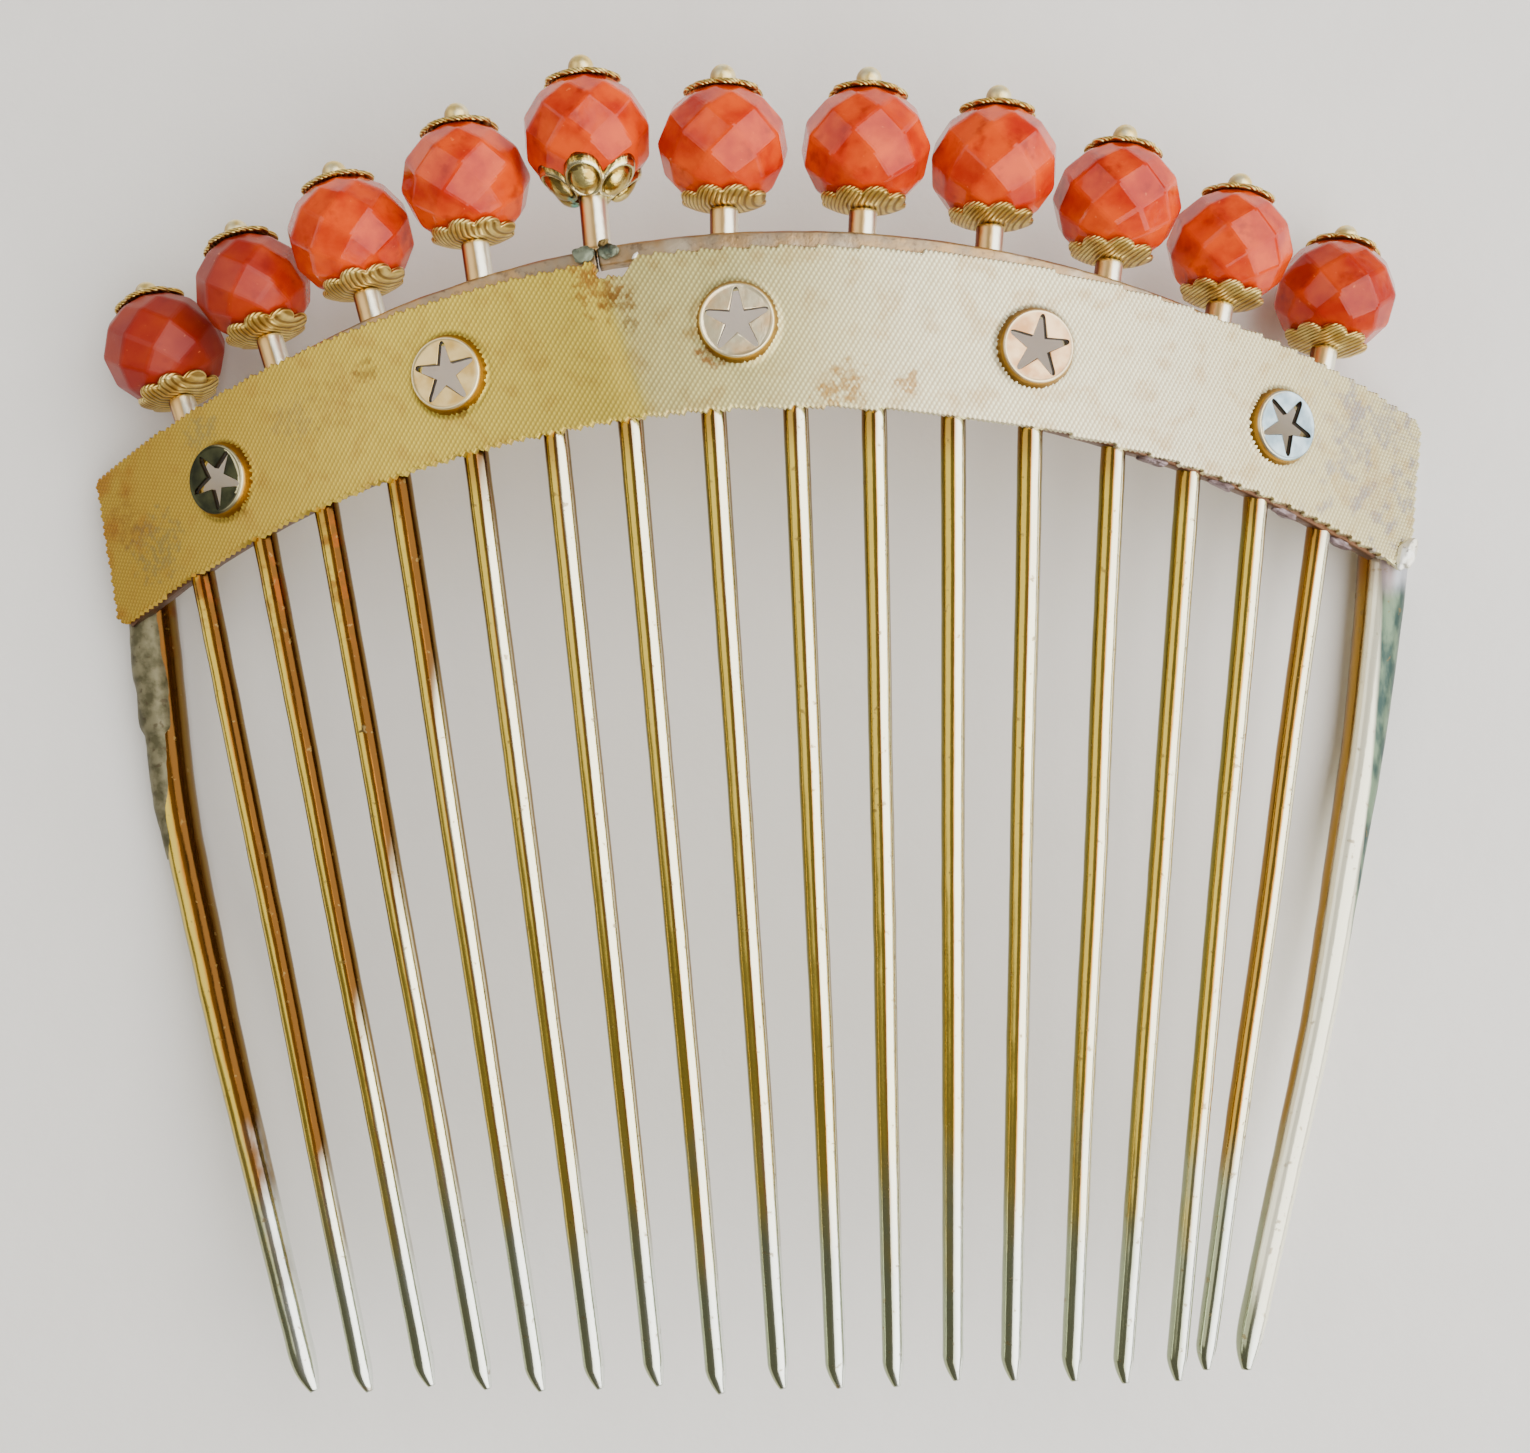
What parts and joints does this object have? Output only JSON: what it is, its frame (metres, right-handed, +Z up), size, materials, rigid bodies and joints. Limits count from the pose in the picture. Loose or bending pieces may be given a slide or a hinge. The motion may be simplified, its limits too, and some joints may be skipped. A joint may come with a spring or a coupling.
{
  "type": "chignon comb",
  "caption": "Curved hair comb for a chignon: a pierced, grained metal band carries faceted coral beads on short stems along its top and long round teeth below.",
  "frame": {"origin": "centre of the bounding box in X and Y, on the surface that the comb lies on", "axes": "+X to the wearer's-view right along the band, +Y towards the beads, +Z up out of the front of the band"},
  "size_m": [0.0856, 0.0799, 0.018],
  "materials": {
    "gilt_metal": "worn gilding over a silvery base metal: grained on the plate, polished on the teeth, with grey solder and brown tarnish",
    "disc_metal": "smooth pale gilding, partly worn to silver grey",
    "coral": "polished orange-red coral with flat facets",
    "cap_metal": "ribbed gilt sheet",
    "pin_metal": "smooth pale gilding"
  },
  "bodies": {
    "root": {"comb": "gilt_metal", "star_disc_1": "disc_metal", "star_disc_2": "disc_metal", "star_disc_3": "disc_metal", "star_disc_4": "disc_metal", "star_disc_5": "disc_metal", "bead_01": "coral", "bead_02": "coral", "bead_03": "coral", "bead_04": "coral", "bead_05": "coral", "bead_06": "coral", "bead_07": "coral", "bead_08": "coral", "bead_09": "coral", "bead_10": "coral", "bead_11": "coral", "lower_cap_01": "cap_metal", "lower_cap_02": "cap_metal", "lower_cap_03": "cap_metal", "lower_cap_04": "cap_metal", "lower_cap_05": "cap_metal", "lower_cap_06": "cap_metal", "lower_cap_07": "cap_metal", "lower_cap_08": "cap_metal", "lower_cap_09": "cap_metal", "lower_cap_10": "cap_metal", "lower_cap_11": "cap_metal", "upper_cap_01": "cap_metal", "upper_cap_02": "cap_metal", "upper_cap_03": "cap_metal", "upper_cap_04": "cap_metal", "upper_cap_05": "cap_metal", "upper_cap_06": "cap_metal", "upper_cap_07": "cap_metal", "upper_cap_08": "cap_metal", "upper_cap_09": "cap_metal", "upper_cap_10": "cap_metal", "upper_cap_11": "cap_metal", "head_pin_01": "pin_metal", "head_pin_02": "pin_metal", "head_pin_03": "pin_metal", "head_pin_04": "pin_metal", "head_pin_05": "pin_metal", "head_pin_06": "pin_metal", "head_pin_07": "pin_metal", "head_pin_08": "pin_metal", "head_pin_09": "pin_metal", "head_pin_10": "pin_metal", "head_pin_11": "pin_metal"}
  },
  "joints": []
}
